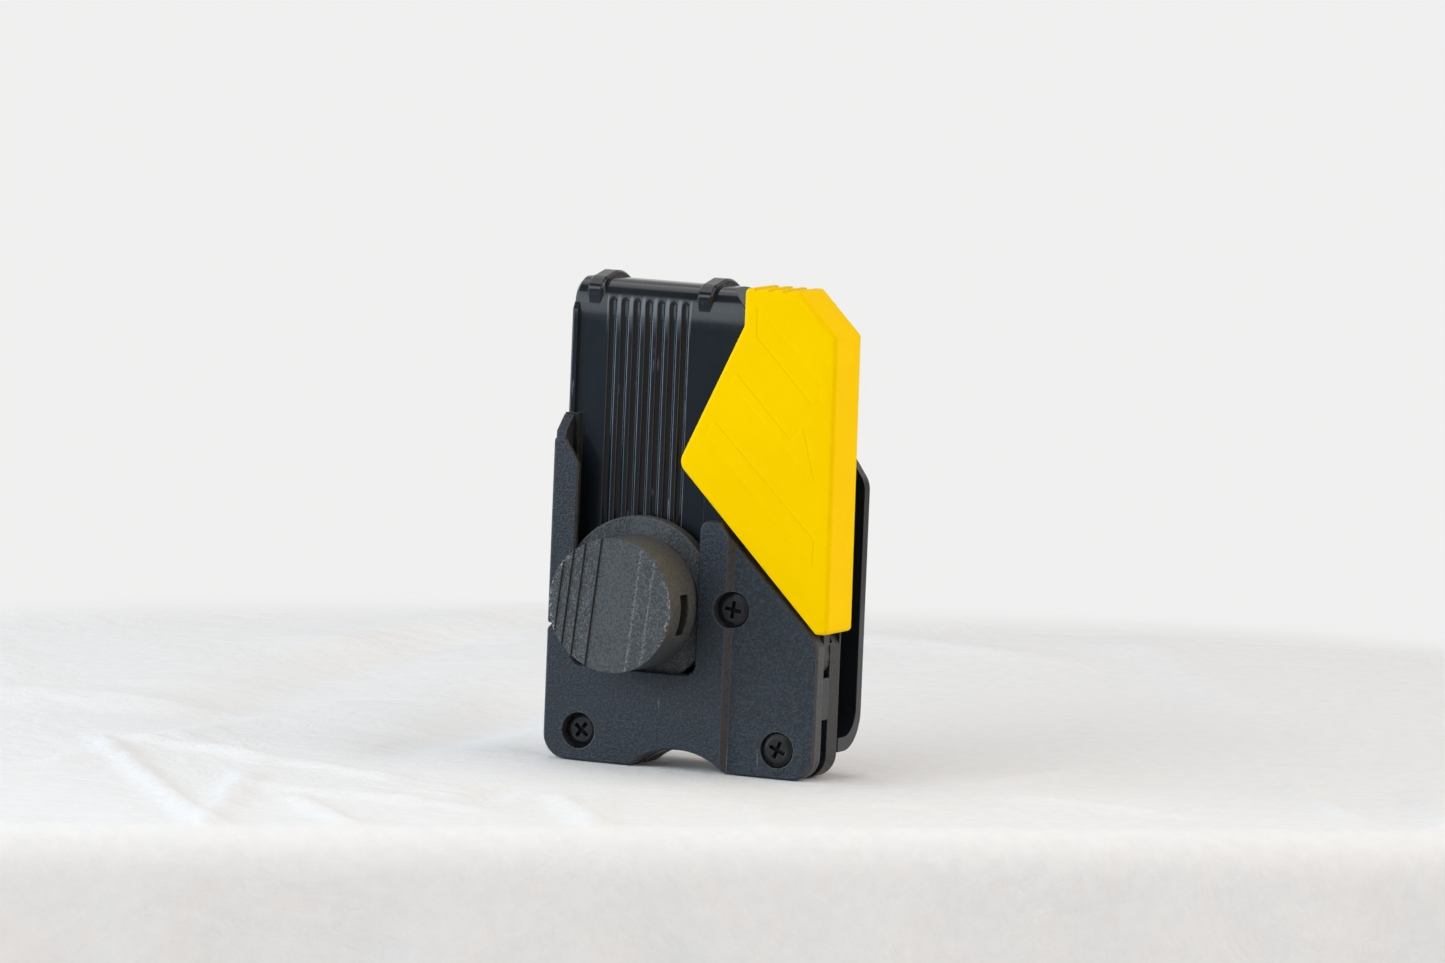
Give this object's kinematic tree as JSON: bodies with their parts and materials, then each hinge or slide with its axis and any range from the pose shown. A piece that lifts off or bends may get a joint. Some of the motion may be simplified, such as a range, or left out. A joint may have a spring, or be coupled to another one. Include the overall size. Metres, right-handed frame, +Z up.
{
  "type": "locking belt holster",
  "caption": "Flat belt holster with a spring-closed lever over a fluted channel, and a round pin that slides down behind two lips and turns there.",
  "frame": {"origin": "bottom centre of the bounding box at rest; the bottom edge of the body lies on z = 0", "axes": "+X to the right of the front face, +Y back towards the belt, +Z up along the channel"},
  "size_m": [0.0692, 0.04, 0.1092],
  "materials": {
    "cover_black": "fine spark-eroded texture, matte",
    "shell_black": "fine spark-eroded texture, matte",
    "clip_black": "smooth moulded, satin to gloss",
    "arm_black": "smooth moulded, satin",
    "cap_yellow": "smooth moulded, satin",
    "print_grey": "printed in layers, rough",
    "screw_black": "black oxide",
    "pin_steel": "ground",
    "spring_steel": "drawn wire",
    "bolt_steel": "zinc plated",
    "bush_white": "smooth",
    "insert_brass": "turned"
  },
  "bodies": {
    "frame": {"front_plate": "cover_black", "rear_shell": "shell_black", "guide_clip": "clip_black", "pivot_pin": "pin_steel", "pivot_washer": "pin_steel", "spring_bush": "bush_white", "return_spring": "spring_steel", "cover_screw_left": "screw_black", "cover_screw_middle": "screw_black", "cover_screw_right": "screw_black", "screw_insert_left": "insert_brass", "screw_insert_middle": "insert_brass", "screw_insert_right": "insert_brass"},
    "lever": {"lever_arm": "arm_black", "lever_cap": "cap_yellow", "cap_screw_upper": "screw_black", "cap_screw_lower": "screw_black"},
    "pin_carriage": {"pin_flange": "print_grey"},
    "pin_knob": {"pin_drum": "print_grey", "pin_nut": "bolt_steel", "pin_bolt": "bolt_steel"}
  },
  "joints": [
    {"name": "lever_hinge", "type": "hinge", "parent": "frame", "child": "lever", "pos_m": [0.0265, 0, 0.0276], "axis": [0, 1, 0], "range_deg": [0, 13], "stiffness_Nm_per_rad": 0.05, "springref_deg": -28.65, "deforming": ["return_spring"]},
    {"name": "pin_slide", "type": "slide", "parent": "frame", "child": "pin_carriage", "axis": [0, 0, 1], "range_m": [0, 0.0135]},
    {"name": "pin_turn", "type": "hinge", "parent": "pin_carriage", "child": "pin_knob", "pos_m": [-0.013, 0, 0.0368], "axis": [0, 1, 0], "continuous": true}
  ]
}
